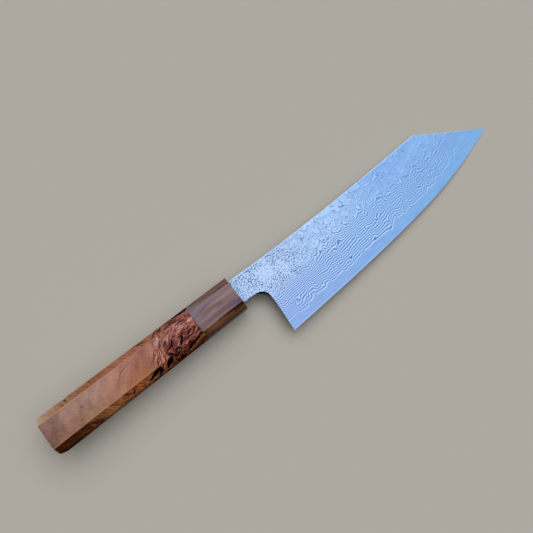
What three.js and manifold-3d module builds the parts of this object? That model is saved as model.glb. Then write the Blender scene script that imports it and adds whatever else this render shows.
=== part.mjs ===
import * as THREE from "three";
import { mergeVertices } from "three/addons/utils/BufferGeometryUtils.js";
import Module from "manifold-3d";

// A bunka kitchen knife: a laminated blade in an octagonal wooden handle with a horn ferrule.
// All sizes are in millimetres. The knife is drawn in its own frame: X runs along the handle axis,
// from the front face of the ferrule (0) towards the tip, Y points to the spine and Z out of the
// right-hand face of the blade. At the end it is tipped into the pose in which it lies on a table.

// Blade outline
const BLADE_RUN = 167.65;             // heel to tip along X, which makes a cutting edge of 169.4
const HEEL_SETBACK = 13.7;            // finger room between the ferrule and the heel
const HEEL_DEPTH = 37.5;              // heel below the handle axis
const HEEL_LEAN = 3.1;                // degrees; the heel wall leans towards the tip as it rises
const TIP_DEPTH = 13.1;               // tip below the handle axis
const TIP_CLIP_RUN = 38.35;           // length of the straight clipped point, along X
const SHOULDER_HEIGHT = 11.05;        // where the clip meets the spine, above the handle axis
const SPINE_HEIGHT = 8.45;            // spine at the ferrule, above the handle axis
const SPINE_SAG_RUN = 56.2;           // the spine's curve handle, ahead of the ferrule
const SPINE_SAG_HEIGHT = 6.05;        // the same handle, above the handle axis
const EDGE_HEEL_ANGLE = 3.4;          // degrees; rise of the cutting edge at the heel
const EDGE_HEEL_REACH = 122;          // how far the heel's line carries into the edge
const EDGE_TIP_ANGLE = 17.7;          // degrees; rise of the cutting edge at the tip
const EDGE_TIP_REACH = 37.7;          // how far the tip's line carries back into the edge
const NECK_DEPTH = 7.25;              // lower side of the neck, below the handle axis
const CHOIL_RADIUS = 8.8;             // rounded corner between neck and heel wall

// Blade thickness and grind
const NECK_THICKNESS = 2.3;
const TIP_THICKNESS = 1.3;            // of the flat above the grind, carried on to the tip
const EDGE_THICKNESS = 0.1;
const BEVEL_HEIGHT = 0.7;             // sharpening bevel, above the edge
const BEVEL_THICKNESS = 0.26;         // at the top of that bevel
const CORE_THICKNESS = 0.8;           // middle layer of the laminate
const CORE_REVEAL = 6;                // height of bare core above the edge
const GRIND_HEIGHT = 30;              // where the grind runs out into the flat, above the edge
const WELD_LINE = 0.02;               // between the core and each outer layer

// Tang
const TANG_LENGTH = 88;
const TANG_WIDTH_FRONT = 11;
const TANG_WIDTH_END = 7;
const TANG_END_THICKNESS = 1.8;
const SHOULDER_GAP = 0.1;             // between the tang's shoulders and the ferrule

// Handle
const HANDLE_LENGTH = 130.45;         // ferrule and wood together
const HANDLE_HEIGHT_FRONT = 21.2;
const HANDLE_HEIGHT_BUTT = 23.65;
const HANDLE_THICKNESS_FRONT = 17.8;
const HANDLE_THICKNESS_BUTT = 19.7;
const CORNER_FACET = 4.15;            // legs of the diagonal facets
const BUTT_ROUND = 0.8;
const FRONT_EASE = 0.4;
const FERRULE_LENGTH = 28.05;
const FERRULE_WALL = 8;               // horn left in front of the dowel socket
const HANDLE_JOINT = 0.05;            // glue line between ferrule and wood

// Tang fixing
const RESIN_EDGE = 0.6;               // resin above and below the tang
const RESIN_FACE = 0.35;              // resin on each face of the tang
const RESIN_END = 2;                  // resin behind the tang
const RESIN_GAP = 0.05;
const DOWEL_MARGIN = 0.22;            // wood outside the corners of the slot
const DOWEL_BACK = 8;                 // solid wood behind the slot
const DOWEL_GLUE = 0.1;               // all round the dowel
const DOWEL_SIDES = 48;

// Cuts run this far past the faces that they break
const OVERCUT = 5;

const EDGE_STATIONS = 20;
const OUTLINE_SEGMENTS = 20;
const BUTT_STEPS = 3;

// Places worked out from the sizes above
const HEEL = new THREE.Vector2(HEEL_SETBACK, -HEEL_DEPTH);
const TIP = new THREE.Vector2(HEEL_SETBACK + BLADE_RUN, -TIP_DEPTH);
const SHOULDER = new THREE.Vector2(TIP.x - TIP_CLIP_RUN, SHOULDER_HEIGHT);
const EDGE_HEEL_HANDLE = along(HEEL, EDGE_HEEL_ANGLE, EDGE_HEEL_REACH);
const EDGE_TIP_HANDLE = along(TIP, EDGE_TIP_ANGLE, -EDGE_TIP_REACH);
const SLOT_HEIGHT = TANG_WIDTH_FRONT + 2 * RESIN_EDGE;
const SLOT_WIDTH = NECK_THICKNESS + 2 * RESIN_FACE;
const SLOT_END = -(TANG_LENGTH + RESIN_END);
const DOWEL_RADIUS = Math.hypot(SLOT_HEIGHT, SLOT_WIDTH) / 2 + DOWEL_MARGIN;
const DOWEL_FRONT = -(FERRULE_WALL + DOWEL_GLUE);
const DOWEL_REAR = SLOT_END - DOWEL_BACK;

const wasm = await Module();
wasm.setup();

// A point a given way from another, along a line that rises by so many degrees.
function along(from, degrees, distance) {
  const angle = THREE.MathUtils.degToRad(degrees);
  return new THREE.Vector2(Math.cos(angle), Math.sin(angle)).multiplyScalar(distance).add(from);
}

function toSolid(geometry) {
  geometry.deleteAttribute("normal");
  geometry.deleteAttribute("uv");
  const merged = mergeVertices(geometry, 1e-4);
  const vertProperties = new Float32Array(merged.attributes.position.array);
  const triVerts = new Uint32Array(merged.index.array);
  return new wasm.Manifold(new wasm.Mesh({ numProp: 3, vertProperties, triVerts }));
}

function toMesh(name, solid, material) {
  const { vertProperties, triVerts } = solid.getMesh();
  const geometry = new THREE.BufferGeometry();
  geometry.setAttribute("position", new THREE.BufferAttribute(new Float32Array(vertProperties), 3));
  geometry.setIndex(new THREE.BufferAttribute(new Uint32Array(triVerts), 1));
  geometry.computeVertexNormals();
  const mesh = new THREE.Mesh(geometry, material);
  mesh.name = name;
  return mesh;
}

// A closed skin over rings of matching points, each ring counter-clockwise as seen from the tip,
// given from the butt towards the tip.
function loft(rings) {
  const size = rings[0].length;
  const index = [];
  for (let i = 0; i < rings.length - 1; i += 1) {
    for (let j = 0; j < size; j += 1) {
      const here = i * size + j;
      const beside = i * size + ((j + 1) % size);
      index.push(here, beside, here + size);
      index.push(beside, beside + size, here + size);
    }
  }
  const last = (rings.length - 1) * size;
  const flat = rings[0].map((point) => new THREE.Vector2(point.y, point.z));
  for (const [a, b, c] of THREE.ShapeUtils.triangulateShape(flat, [])) {
    index.push(a, c, b);
    index.push(last + a, last + b, last + c);
  }
  const geometry = new THREE.BufferGeometry();
  geometry.setFromPoints(rings.flat());
  geometry.setIndex(index);
  return toSolid(geometry);
}

// A box between two places along X, centred on the handle axis.
function bar(fromX, toX, height, width) {
  const geometry = new THREE.BoxGeometry(toX - fromX, height, width);
  geometry.translate((fromX + toX) / 2, 0, 0);
  return toSolid(geometry);
}

// A round bar between two places along X, centred on the handle axis.
function rod(fromX, toX, radius) {
  const geometry = new THREE.CylinderGeometry(radius, radius, toX - fromX, DOWEL_SIDES);
  geometry.rotateZ(-Math.PI / 2);
  geometry.translate((fromX + toX) / 2, 0, 0);
  return toSolid(geometry);
}

// Blade

function bladeOutline() {
  const lean = THREE.MathUtils.degToRad(HEEL_LEAN);
  const choilY = -NECK_DEPTH - CHOIL_RADIUS;
  const wallX = HEEL.x + (choilY - HEEL.y) * Math.tan(lean);
  const choilX = wallX - CHOIL_RADIUS / Math.cos(lean);
  const shape = new THREE.Shape();
  shape.moveTo(TIP.x, TIP.y);
  shape.lineTo(SHOULDER.x, SHOULDER.y);
  shape.quadraticCurveTo(SPINE_SAG_RUN, SPINE_SAG_HEIGHT, SHOULDER_GAP, SPINE_HEIGHT);
  shape.lineTo(SHOULDER_GAP, TANG_WIDTH_FRONT / 2);
  shape.lineTo(-TANG_LENGTH, TANG_WIDTH_END / 2);
  shape.lineTo(-TANG_LENGTH, -TANG_WIDTH_END / 2);
  shape.lineTo(SHOULDER_GAP, -TANG_WIDTH_FRONT / 2);
  shape.lineTo(SHOULDER_GAP, -NECK_DEPTH);
  shape.absarc(choilX, choilY, CHOIL_RADIUS, Math.PI / 2, -lean, true);
  shape.lineTo(HEEL.x, HEEL.y);
  shape.bezierCurveTo(
    EDGE_HEEL_HANDLE.x, EDGE_HEEL_HANDLE.y, EDGE_TIP_HANDLE.x, EDGE_TIP_HANDLE.y, TIP.x, TIP.y);
  return shape;
}

// Points of the cutting edge, carried on straight behind the heel and past the tip.
function edgeLine() {
  const curve = new THREE.CubicBezierCurve(HEEL, EDGE_HEEL_HANDLE, EDGE_TIP_HANDLE, TIP);
  const behind = HEEL.x + TANG_LENGTH + OVERCUT;
  return [
    along(HEEL, EDGE_HEEL_ANGLE, -behind),
    along(HEEL, EDGE_HEEL_ANGLE, -HEEL.x),
    ...curve.getPoints(EDGE_STATIONS),
    along(TIP, EDGE_TIP_ANGLE, OVERCUT),
  ];
}

// Thickness of the flat above the grind: it thins from the neck to the tip and along the tang.
function flatThickness(x) {
  if (x < 0) {
    return THREE.MathUtils.lerp(NECK_THICKNESS, TANG_END_THICKNESS, Math.min(1, -x / TANG_LENGTH));
  }
  return THREE.MathUtils.lerp(NECK_THICKNESS, TIP_THICKNESS, Math.min(1, x / TIP.x));
}

// The ground faces as one long wedge that follows the edge and stands well past the spine.
function grindWedge() {
  const rings = edgeLine().map((edge) => {
    const flat = flatThickness(edge.x);
    const profile = [
      [-OVERCUT / 10, EDGE_THICKNESS],
      [BEVEL_HEIGHT, BEVEL_THICKNESS],
      [CORE_REVEAL, CORE_THICKNESS],
      [GRIND_HEIGHT, flat],
      [HEEL_DEPTH + SPINE_HEIGHT + 2 * OVERCUT, flat],
    ];
    const left = profile.map(([up, t]) => new THREE.Vector3(edge.x, edge.y + up, -t / 2));
    const right = profile.map(([up, t]) => new THREE.Vector3(edge.x, edge.y + up, t / 2));
    return [...left, ...right.reverse()];
  });
  return loft(rings);
}

function bladeSolid() {
  const depth = NECK_THICKNESS + OVERCUT;
  const settings = { depth, bevelEnabled: false, curveSegments: OUTLINE_SEGMENTS };
  const blank = new THREE.ExtrudeGeometry(bladeOutline(), settings);
  blank.translate(0, 0, -depth / 2);
  return toSolid(blank).intersect(grindWedge());
}

// A slab of the laminate between two heights, wide enough to hold the whole blade.
function layer(bottom, top) {
  const reach = 2 * (TIP.x + TANG_LENGTH);
  const geometry = new THREE.BoxGeometry(reach, reach, top - bottom);
  geometry.translate(0, 0, (bottom + top) / 2);
  return toSolid(geometry);
}

// Handle

// Height, thickness and facet ring of the tapered handle at a place on its axis.
function handleRing(x, inset) {
  const share = -x / HANDLE_LENGTH;
  const y = THREE.MathUtils.lerp(HANDLE_HEIGHT_FRONT, HANDLE_HEIGHT_BUTT, share) / 2 - inset;
  const z = THREE.MathUtils.lerp(HANDLE_THICKNESS_FRONT, HANDLE_THICKNESS_BUTT, share) / 2 - inset;
  const facet = CORNER_FACET - inset * (2 - Math.SQRT2);
  const corners = [
    [y, facet - z], [y, z - facet], [y - facet, z], [facet - y, z],
    [-y, z - facet], [-y, facet - z], [facet - y, -z], [y - facet, -z],
  ];
  return corners.map(([cornerY, cornerZ]) => new THREE.Vector3(x, cornerY, cornerZ));
}

function ferruleSolid() {
  const body = loft([
    handleRing(-FERRULE_LENGTH, 0),
    handleRing(-FRONT_EASE, 0),
    handleRing(0, FRONT_EASE),
  ]);
  const socket = rod(-FERRULE_LENGTH - OVERCUT, -FERRULE_WALL, DOWEL_RADIUS + DOWEL_GLUE);
  const slot = bar(-FERRULE_WALL - OVERCUT, OVERCUT, SLOT_HEIGHT, SLOT_WIDTH);
  return body.subtract(socket).subtract(slot);
}

function handleSolid() {
  const rings = [];
  for (let step = 0; step <= BUTT_STEPS; step += 1) {
    const angle = (Math.PI / 2) * (step / BUTT_STEPS);
    const x = -HANDLE_LENGTH + BUTT_ROUND * (1 - Math.sin(angle));
    rings.push(handleRing(x, BUTT_ROUND * (1 - Math.cos(angle))));
  }
  rings.reverse();
  rings.push(handleRing(-FERRULE_LENGTH - HANDLE_JOINT, 0));
  const bore = rod(DOWEL_REAR - DOWEL_GLUE, -FERRULE_LENGTH + OVERCUT, DOWEL_RADIUS + DOWEL_GLUE);
  return loft(rings).subtract(bore);
}

function dowelSolid() {
  const slot = bar(SLOT_END, DOWEL_FRONT + OVERCUT, 2 * DOWEL_RADIUS + OVERCUT, SLOT_WIDTH);
  return rod(DOWEL_REAR, DOWEL_FRONT, DOWEL_RADIUS).subtract(slot);
}

// The bed fills the slot and leaves a pocket of the tang's own taper.
function resinSolid() {
  const play = 2 * RESIN_GAP;
  const bed = bar(SLOT_END + RESIN_GAP, 0, SLOT_HEIGHT - play, SLOT_WIDTH - play);
  const pocketRing = (x, width, thickness) => {
    const y = width / 2 + RESIN_GAP;
    const z = thickness / 2 + RESIN_GAP;
    const corners = [[y, -z], [y, z], [-y, z], [-y, -z]];
    return corners.map(([cornerY, cornerZ]) => new THREE.Vector3(x, cornerY, cornerZ));
  };
  const pocket = loft([
    pocketRing(-TANG_LENGTH - RESIN_GAP, TANG_WIDTH_END, TANG_END_THICKNESS),
    pocketRing(0, TANG_WIDTH_FRONT, NECK_THICKNESS),
    pocketRing(OVERCUT, TANG_WIDTH_FRONT, NECK_THICKNESS),
  ]);
  return bed.subtract(pocket);
}

// Materials

const coreSteel = new THREE.MeshStandardMaterial({ color: 0xc3c7cb, roughness: 0.3, metalness: 1 });
const cladSteel = new THREE.MeshStandardMaterial({ color: 0xa7adb4, roughness: 0.4, metalness: 1 });
const horn = new THREE.MeshStandardMaterial({ color: 0x6e5a4c, roughness: 0.3, metalness: 0 });
const burl = new THREE.MeshStandardMaterial({ color: 0x8f5f4a, roughness: 0.45, metalness: 0 });
const dowelWood = new THREE.MeshStandardMaterial({ color: 0xd9c39c, roughness: 0.7, metalness: 0 });
const resin = new THREE.MeshStandardMaterial({ color: 0x7d6a45, roughness: 0.4, metalness: 0 });

// Assembly

const blade = bladeSolid();
const outside = NECK_THICKNESS + OVERCUT;
const cladFace = CORE_THICKNESS / 2 + WELD_LINE;

const knife = new THREE.Group();
knife.name = "knife";
knife.add(toMesh("core_steel", blade.intersect(layer(-CORE_THICKNESS / 2, CORE_THICKNESS / 2)), coreSteel));
knife.add(toMesh("right_cladding", blade.intersect(layer(cladFace, outside)), cladSteel));
knife.add(toMesh("left_cladding", blade.intersect(layer(-outside, -cladFace)), cladSteel));
knife.add(toMesh("horn_ferrule", ferruleSolid(), horn));
knife.add(toMesh("handle_body", handleSolid(), burl));
knife.add(toMesh("tang_dowel", dowelSolid(), dowelWood));
knife.add(toMesh("tang_resin", resinSolid(), resin));

// The knife lies on its left face, on the lower front edge of the ferrule and on the tip.
const seat = handleRing(-FRONT_EASE, 0)[7];
knife.rotation.y = Math.atan2(-seat.z - BEVEL_THICKNESS / 2, TIP.x - seat.x);

// The finished part stands on the floor, centred over the origin.
const box = new THREE.Box3().setFromObject(knife, true);
const centre = box.getCenter(new THREE.Vector3());
knife.position.set(-centre.x, -centre.y, -box.min.z);

const group = new THREE.Group();
group.name = "bunka_knife";
group.add(knife);

export default group;
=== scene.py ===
"""Looks of a bunka knife: a damascus-clad blade, a horn ferrule and an octagonal burl handle."""

import math
from functools import partial, reduce

import bmesh
import bpy
import numpy as np
from mathutils import Matrix, Vector
from mathutils.geometry import delaunay_2d_cdt
from numpy.linalg import norm


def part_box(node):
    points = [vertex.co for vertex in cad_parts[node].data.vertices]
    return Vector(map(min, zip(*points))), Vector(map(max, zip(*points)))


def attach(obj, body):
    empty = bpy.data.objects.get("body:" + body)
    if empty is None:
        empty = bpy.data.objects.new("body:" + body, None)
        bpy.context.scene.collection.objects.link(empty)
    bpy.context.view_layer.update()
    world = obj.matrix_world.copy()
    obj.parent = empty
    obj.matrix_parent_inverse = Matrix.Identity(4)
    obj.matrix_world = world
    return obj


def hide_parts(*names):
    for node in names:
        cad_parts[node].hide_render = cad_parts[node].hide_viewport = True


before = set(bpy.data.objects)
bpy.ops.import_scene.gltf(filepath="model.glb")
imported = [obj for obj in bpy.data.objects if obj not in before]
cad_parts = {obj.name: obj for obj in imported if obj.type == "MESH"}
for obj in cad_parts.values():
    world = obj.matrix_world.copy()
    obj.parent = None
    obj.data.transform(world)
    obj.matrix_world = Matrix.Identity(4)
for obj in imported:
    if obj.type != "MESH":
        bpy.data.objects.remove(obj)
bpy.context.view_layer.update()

MM = 0.001

# Sizes are in millimetres, in the knife's own frame: X runs along the handle axis from the front
# face of the ferrule to the tip, Y points to the spine and Z out of the right-hand face.

# Blade outline
HEEL = np.array((13.7, -37.5))
TIP = np.array((181.35, -13.1))
SHOULDER = np.array((143.0, 11.05))
HEEL_LEAN = math.radians(3.1)
SPINE_HEIGHT = 8.45
SPINE_SAG = np.array((56.2, 6.05))
EDGE_HEEL_ANGLE, EDGE_HEEL_REACH = math.radians(3.4), 122
EDGE_TIP_ANGLE, EDGE_TIP_REACH = math.radians(17.7), 37.7
NECK_DEPTH = 7.25
CHOIL_RADIUS = 8.8

# Blade thickness and grind
NECK_THICKNESS = 2.3
TIP_THICKNESS = 1.3
EDGE_THICKNESS = 0.1
BEVEL_HEIGHT, BEVEL_THICKNESS = 0.7, 0.26
CORE_THICKNESS = 0.8
CORE_REVEAL = 6
GRIND_HEIGHT = 30
SPINE_EASE = 0.35
EASE_WIDTH_SHARE, EASE_DEPTH_SHARE = 1.6, 0.9
CHOIL_FACE_RADIUS = 6

# Tang
TANG_LENGTH = 88
TANG_WIDTH_FRONT, TANG_WIDTH_END = 11, 7
TANG_END_THICKNESS = 1.8
SHOULDER_GAP = 0.1

# Handle
HANDLE_LENGTH = 130.45
HANDLE_HEIGHT_FRONT, HANDLE_HEIGHT_BUTT = 21.2, 23.65
HANDLE_THICKNESS_FRONT, HANDLE_THICKNESS_BUTT = 17.8, 19.7
CORNER_FACET = 4.15
CORNER_ROUND = 0.55
BUTT_ROUND = 0.8
BUTT_DOME = 0.35
FRONT_EASE = 0.4
JOINT_EASE = 0.12
FERRULE_LENGTH = 28.05
FERRULE_WALL = 8
HANDLE_JOINT = 0.05
SLOT_HEIGHT, SLOT_WIDTH = 12.2, 3.0
BORE_RADIUS = 6.6
BORE_END = 98.1

# Mesh density, with clearances as shares of a step, and tolerances
EDGE_STEPS = 170
SPINE_STEPS = 100
CHOIL_STEPS = 14
LINE_STEP = 1.5
FACE_STEP = 1.6
HIDDEN_STEP = 4 * FACE_STEP
BORDER_CLEAR, LINE_CLEAR = 0.6, 0.5
MITRE_LIMIT = 0.5
SUPPORT = 0.35
ROUND_STEPS = 4
DOME_SHARES = (0.25, 0.5, 0.75, 0.92)
SHARP_ANGLE = math.radians(38)
TINY = 1e-9
FILL_TOLERANCE = 1e-6
MERGE_METRES, SLIVER_METRES = 1e-7, 1e-8

# Camera, as fitted to the photograph: its place in the knife's frame, the way it looks and its right
CAMERA_PLACE = Vector((-10.09, -44.11, 334.17))
CAMERA_VIEW = Vector((0.0994, 0.1354, -0.9858))
CAMERA_RIGHT = Vector((0.7885, -0.6150, -0.0049))
FRAME_PIXELS, FOCAL_PIXELS = 533, 577
SENSOR = 36
CLIP_METRES = 0.01


def handle_half(x):
    """Half the handle's height and half its thickness at a place along it."""
    share = -x / HANDLE_LENGTH
    height = share * (HANDLE_HEIGHT_BUTT - HANDLE_HEIGHT_FRONT) + HANDLE_HEIGHT_FRONT
    thickness = share * (HANDLE_THICKNESS_BUTT - HANDLE_THICKNESS_FRONT) + HANDLE_THICKNESS_FRONT
    return height / 2, thickness / 2


def knife_pose():
    """Where the knife's own frame lies: on the ferrule's lower front edge and on the tip."""
    seat = Vector((-FRONT_EASE, 0, -handle_half(-FRONT_EASE)[1]))
    pitch = math.atan2(-seat.z - BEVEL_THICKNESS / 2, TIP[0] - seat.x)
    turn = Matrix.Rotation(pitch, 4, "Y")
    blade_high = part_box("core_steel")[1]
    ferrule_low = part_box("horn_ferrule")[0]
    tip = turn @ Vector((TIP[0], 0, 0)) * MM
    place = Vector((
        blade_high.x - tip.x,
        blade_high.y - SHOULDER[1] * MM,
        ferrule_low.z - (turn @ seat).z * MM,
    ))
    return Matrix.Translation(place) @ turn


POSE = knife_pose()


# Curves and thickness of the blade

def bezier(points, steps):
    """Points along a Bezier curve of any order, with both ends."""
    t = np.linspace(0, 1, steps + 1)[:, None]
    layer = [np.asarray(p, float) + 0 * t for p in points]
    while len(layer) > 1:
        layer = [a + (b - a) * t for a, b in zip(layer, layer[1:])]
    return layer[0]


def heading(angle):
    """A step of one millimetre at an angle from the X axis."""
    return np.array((math.cos(angle), math.sin(angle)))


EDGE = bezier(
    [
        HEEL,
        HEEL + EDGE_HEEL_REACH * heading(EDGE_HEEL_ANGLE),
        TIP - EDGE_TIP_REACH * heading(EDGE_TIP_ANGLE),
        TIP,
    ],
    EDGE_STEPS,
)
SPINE = bezier([SHOULDER, SPINE_SAG, (SHOULDER_GAP, SPINE_HEIGHT)], SPINE_STEPS)


def below_spine(x, y):
    """Depth of a place below the spine."""
    return np.interp(x, SPINE[::-1, 0], SPINE[::-1, 1]) - y


def above_edge(x, y):
    """Height of a place above the cutting edge, which is carried on straight behind the heel."""
    edge = np.interp(x, EDGE[:, 0], EDGE[:, 1])
    edge = edge + np.minimum(0, x - HEEL[0]) * math.tan(EDGE_HEEL_ANGLE)
    return y - edge


def half_thickness(x, y):
    """Half the blade's thickness: a sharpening bevel, then a convex grind that runs into the flat."""
    neck, bevel, core = NECK_THICKNESS / 2, BEVEL_THICKNESS / 2, CORE_THICKNESS / 2
    tang = neck + (TANG_END_THICKNESS / 2 - neck) * np.clip(-x / TANG_LENGTH, 0, 1)
    blade = neck + (TIP_THICKNESS / 2 - neck) * np.clip(x / TIP[0], 0, 1)
    flat = np.where(x < 0, tang, blade)
    up = above_edge(x, y)
    reveal = (CORE_REVEAL - BEVEL_HEIGHT) / (GRIND_HEIGHT - BEVEL_HEIGHT)
    power = np.log(1 - (core - bevel) / (flat - bevel)) / math.log(1 - reveal)
    rise = np.clip((up - BEVEL_HEIGHT) / (GRIND_HEIGHT - BEVEL_HEIGHT), 0, 1)
    ground = bevel + (flat - bevel) * (1 - (1 - rise) ** power)
    sharp = EDGE_THICKNESS / 2 + (bevel - EDGE_THICKNESS / 2) * np.clip(up / BEVEL_HEIGHT, 0, 1)
    return np.where(up < BEVEL_HEIGHT, sharp, ground)


def heel_wall(y):
    """Where along the blade the heel's wall is, at a height."""
    return (y - HEEL[1]) * math.tan(HEEL_LEAN) + HEEL[0]


def notch_centre(radius):
    """Centre of an arc that runs into both the neck and the heel wall."""
    y = -NECK_DEPTH - radius
    return np.array((heel_wall(y) - radius / math.cos(HEEL_LEAN), y))


CHOIL = notch_centre(CHOIL_RADIUS)


def edge_above(lift):
    """The cutting edge lifted towards the spine, cut off at the heel wall and at the clipped tip."""
    line = EDGE + (0, lift)
    clip = (TIP[1] - SHOULDER[1]) / (TIP[0] - SHOULDER[0])
    room = np.minimum(
        line[:, 0] - heel_wall(line[:, 1]),
        TIP[1] + (line[:, 0] - TIP[0]) * clip - line[:, 1],
    )
    inside = np.flatnonzero(room > TINY)
    first, last = inside[0], inside[-1]
    ends = []
    for outer, inner in ((first - 1, first), (last + 1, last)):
        if 0 <= outer < len(line):
            share = room[inner] / (room[inner] - room[outer])
            ends.append(line[inner] + (line[outer] - line[inner]) * share)
        else:
            ends.append(line[inner])
    return np.vstack([ends[0], line[first + 1:last], ends[1]])


def straight(start, end):
    """Points from start up to but without end, about LINE_STEP apart."""
    start, end = np.asarray(start, float), np.asarray(end, float)
    count = max(1, round(norm(end - start) / LINE_STEP))
    return start + (end - start) * (np.arange(count) / count)[:, None]


def blade_outline(lift):
    """The outline of blade and tang, counter-clockwise, with its lower side lifted off the edge."""
    lower = edge_above(lift)
    turns = np.linspace(math.pi / 2, -HEEL_LEAN, CHOIL_STEPS + 1)
    arc = CHOIL + CHOIL_RADIUS * np.c_[np.cos(turns), np.sin(turns)]
    tang = [
        (SHOULDER_GAP, SPINE_HEIGHT),
        (SHOULDER_GAP, TANG_WIDTH_FRONT / 2),
        (-TANG_LENGTH, TANG_WIDTH_END / 2),
        (-TANG_LENGTH, -TANG_WIDTH_END / 2),
        (SHOULDER_GAP, -TANG_WIDTH_FRONT / 2),
        (SHOULDER_GAP, -NECK_DEPTH),
        arc[0],
    ]
    runs = [straight(lower[-1], SHOULDER), SPINE[:-1]]
    runs += [straight(a, b) for a, b in zip(tang, tang[1:])]
    runs += [arc[:-1], straight(arc[-1], lower[0]), lower[:-1]]
    return np.vstack(runs)


# Meshes

def inset_ring(ring, depth):
    """A closed outline moved inwards, by a depth for each point."""
    ahead = np.roll(ring, -1, axis=0) - ring
    ahead /= norm(ahead, axis=1)[:, None]
    inward = np.c_[-ahead[:, 1], ahead[:, 0]]
    before = np.roll(inward, 1, axis=0)
    middle = inward + before
    middle /= norm(middle, axis=1)[:, None]
    reach = 1 / np.maximum(MITRE_LIMIT, (middle * inward).sum(1))
    return ring + middle * (reach * depth)[:, None]


def with_point(ring, point):
    """A closed outline with one more point, in the segment that the point lies on."""
    ahead = np.roll(ring, -1, axis=0)
    detour = norm(ring - point, axis=1) + norm(ahead - point, axis=1)
    detour -= norm(ahead - ring, axis=1)
    return np.insert(ring, np.argmin(detour) + 1, point, axis=0)


def points_inside(ring, step):
    """A triangular lattice of points in an outline, clear of its border."""
    low, high = ring.min(0), ring.max(0)
    rows = np.arange(low[1], high[1], step * math.sqrt(3) / 2)
    lattice = np.array([
        (x, y)
        for i, y in enumerate(rows)
        for x in np.arange(low[0] + step / 2 * (i % 2), high[0], step)
    ])
    x, y = lattice[:, 0][:, None], lattice[:, 1][:, None]
    x0, y0 = ring[:, 0], ring[:, 1]
    x1, y1 = np.roll(x0, -1), np.roll(y0, -1)
    spans = (y0 > y) != (y1 > y)
    rise = np.where(y1 == y0, 1, y1 - y0)
    left = x < (x1 - x0) * (y - y0) / rise + x0
    inside = (spans & left).sum(1) % 2 == 1
    clear = np.hypot(x - x0, y - y0).min(1) > step * BORDER_CLEAR
    return lattice[inside & clear]


def fill(ring, lines=(), step=FACE_STEP):
    """Triangles that fill an outline, along given lines. Returns points, faces, where the outline's
    own points went, and the edges of the lines."""
    points = [ring]
    edges = []
    count = len(ring)
    for line in lines:
        edges += [(count + i, count + i + 1) for i in range(len(line) - 1)]
        points.append(line)
        count += len(line)
    lattice = points_inside(ring, step)
    for line in lines:
        away = np.hypot(lattice[:, :1] - line[:, 0], lattice[:, 1:] - line[:, 1]).min(1)
        lattice = lattice[away > step * LINE_CLEAR]
    points.append(lattice)
    places = [Vector(p) for p in np.vstack(points)]
    border = [list(range(len(ring)))]
    out, links, faces, origins, link_origins, _ = delaunay_2d_cdt(places, edges, border, 1, FILL_TOLERANCE)
    where = {old: new for new, olds in enumerate(origins) for old in olds}
    on_lines = [link for link, olds in zip(links, link_origins) if any(o < len(edges) for o in olds)]
    return np.array(out), faces, [where[i] for i in range(len(ring))], on_lines


def store_heights(mesh):
    """Keeps each point's height above the edge and depth below the spine, for the steel."""
    x, y, _ = np.array([v.co for v in mesh.vertices]).T / MM
    for height in (above_edge, below_spine):
        values = height(x, y).astype(np.float32)
        mesh.attributes.new(height.__name__, "FLOAT", "POINT").data.foreach_set("value", values)


class Skin:
    """Collects points and faces of one mesh, in millimetres in the knife's frame."""

    def __init__(self):
        self.points = []
        self.faces = []
        self.sharp = []

    def add(self, points):
        """Adds points and returns their numbers."""
        start = len(self.points)
        self.points += [tuple(p) for p in points]
        return list(range(start, len(self.points)))

    def band(self, one, two):
        """Quads between two closed rings, which face outwards when `one` runs counter-clockwise on top."""
        for i in range(len(one)):
            j = (i + 1) % len(one)
            self.faces.append((one[i], two[i], two[j], one[j]))

    def plate(self, plane, faces, height, border=None):
        """A filled outline at given heights, with its border joined to points that are there already."""
        known = border or {}
        ids = []
        for i, (x, y) in enumerate(plane):
            ids.append(known[i] if i in known else self.add([(x, y, height[i])])[0])
        return ids, [tuple(ids[i] for i in face) for face in faces]

    def mesh(self, name, mirror):
        """The smoothly shaded mesh, with doubled points joined and sharp edges marked."""
        sign = -1 if mirror else 1
        mesh = bpy.data.meshes.new(name)
        places = [(x * MM, y * MM, z * MM * sign) for x, y, z in self.points]
        mesh.from_pydata(places, [], [face[::sign] for face in self.faces])
        marks = mesh.attributes.new("sharp_edge", "BOOLEAN", "EDGE")
        lines = {frozenset(pair) for pair in self.sharp}
        marks.data.foreach_set("value", [frozenset(e.vertices) in lines for e in mesh.edges])
        work = bmesh.new()
        work.from_mesh(mesh)
        bmesh.ops.remove_doubles(work, verts=work.verts, dist=MERGE_METRES)
        bmesh.ops.dissolve_degenerate(work, edges=work.edges, dist=SLIVER_METRES)
        work.to_mesh(mesh)
        work.free()
        mesh.shade_smooth()
        kept = [e.use_edge_sharp for e in mesh.edges]
        mesh.set_sharp_from_angle(angle=SHARP_ANGLE)
        for edge, was in zip(mesh.edges, kept):
            edge.use_edge_sharp = edge.use_edge_sharp or was
        return mesh

    def build(self, name, material, solid, slot, mirror=False):
        """Makes the piece, lays it in the knife's pose and hands it to the frame."""
        mesh = self.mesh(name, mirror)
        store_heights(mesh)
        mesh.materials.append(material)
        piece = bpy.data.objects.new(name, mesh)
        bpy.context.scene.collection.objects.link(piece)
        piece.matrix_world = POSE
        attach(piece, "root")
        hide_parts(solid)


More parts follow.
